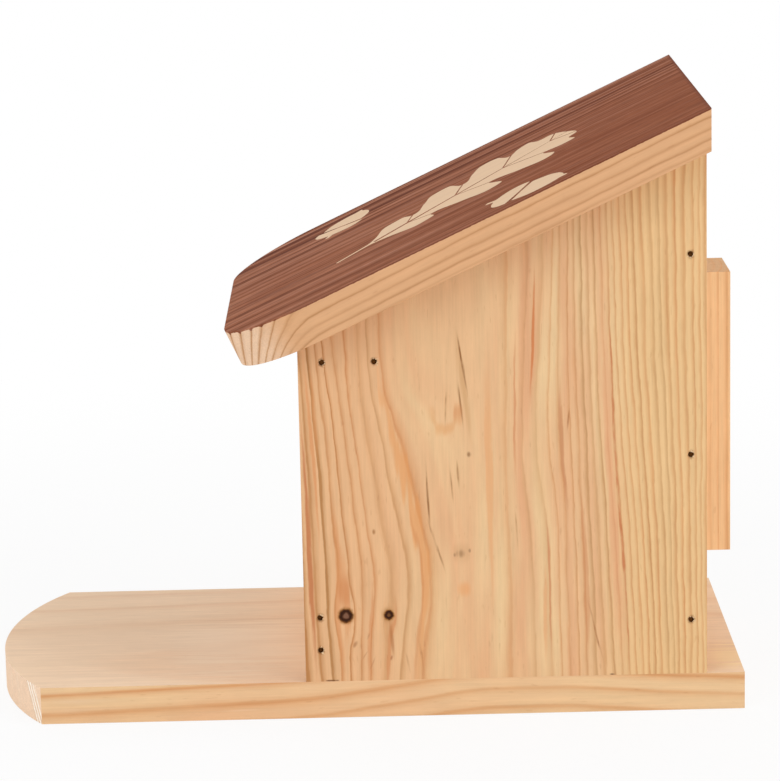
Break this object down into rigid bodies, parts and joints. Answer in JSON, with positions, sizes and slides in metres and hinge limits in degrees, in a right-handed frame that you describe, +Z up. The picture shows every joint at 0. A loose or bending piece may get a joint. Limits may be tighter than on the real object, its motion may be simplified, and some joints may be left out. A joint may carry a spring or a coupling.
{
  "type": "squirrel feeder box",
  "caption": "Pine squirrel feeder: nut box with sloping sides and a clear front on a long base with a rounded nose, and a thick stained lid that swings up on rear hinges.",
  "frame": {"origin": "middle of the base's underside, which is also the middle of the part's footprint", "axes": "+Z up, -Y towards the rounded nose of the platform (front), +Y towards the batten (rear), +X to the right side seen from behind the nose"},
  "size_m": [0.212, 0.36, 0.2913],
  "materials": {
    "planed_pine": "planed, bare",
    "stained_pine": "brown stain on the upper face, bare edges",
    "clear_acrylic": "clear sheet, polished",
    "brass": "satin",
    "zinc_steel": "zinc plated"
  },
  "bodies": {
    "box": {"back_panel": "planed_pine", "base_board": "planed_pine", "base_screw_back_left": "zinc_steel", "base_screw_back_right": "zinc_steel", "base_screw_left_1": "zinc_steel", "base_screw_left_2": "zinc_steel", "base_screw_right_1": "zinc_steel", "base_screw_right_2": "zinc_steel", "batten_screw_1": "zinc_steel", "batten_screw_2": "zinc_steel", "front_lip": "planed_pine", "front_pane": "clear_acrylic", "hinge_left_body_leaf": "brass", "hinge_left_body_screw_1": "brass", "hinge_left_body_screw_2": "brass", "hinge_left_pin": "brass", "hinge_right_body_leaf": "brass", "hinge_right_body_screw_1": "brass", "hinge_right_body_screw_2": "brass", "hinge_right_pin": "brass", "lip_nail_1_left": "zinc_steel", "lip_nail_1_right": "zinc_steel", "lip_nail_2_left": "zinc_steel", "lip_nail_2_right": "zinc_steel", "mounting_batten": "planed_pine", "rail_nail_1_left": "zinc_steel", "rail_nail_1_right": "zinc_steel", "rail_nail_2_left": "zinc_steel", "rail_nail_2_right": "zinc_steel", "rear_nail_1_left": "zinc_steel", "rear_nail_1_right": "zinc_steel", "rear_nail_2_left": "zinc_steel", "rear_nail_2_right": "zinc_steel", "rear_nail_3_left": "zinc_steel", "rear_nail_3_right": "zinc_steel", "side_panel_left": "planed_pine", "side_panel_right": "planed_pine", "top_rail": "planed_pine"},
    "lid": {"hinge_left_lid_leaf": "brass", "hinge_left_lid_screw_1": "brass", "hinge_left_lid_screw_2": "brass", "hinge_right_lid_leaf": "brass", "hinge_right_lid_screw_1": "brass", "hinge_right_lid_screw_2": "brass", "lid_board": "stained_pine"}
  },
  "joints": [
    {"name": "lid_hinge", "type": "hinge", "parent": "box", "child": "lid", "pos_m": [0, 0.1644, 0.27123], "axis": [-1, 0, 0], "range_deg": [0, 170]}
  ]
}
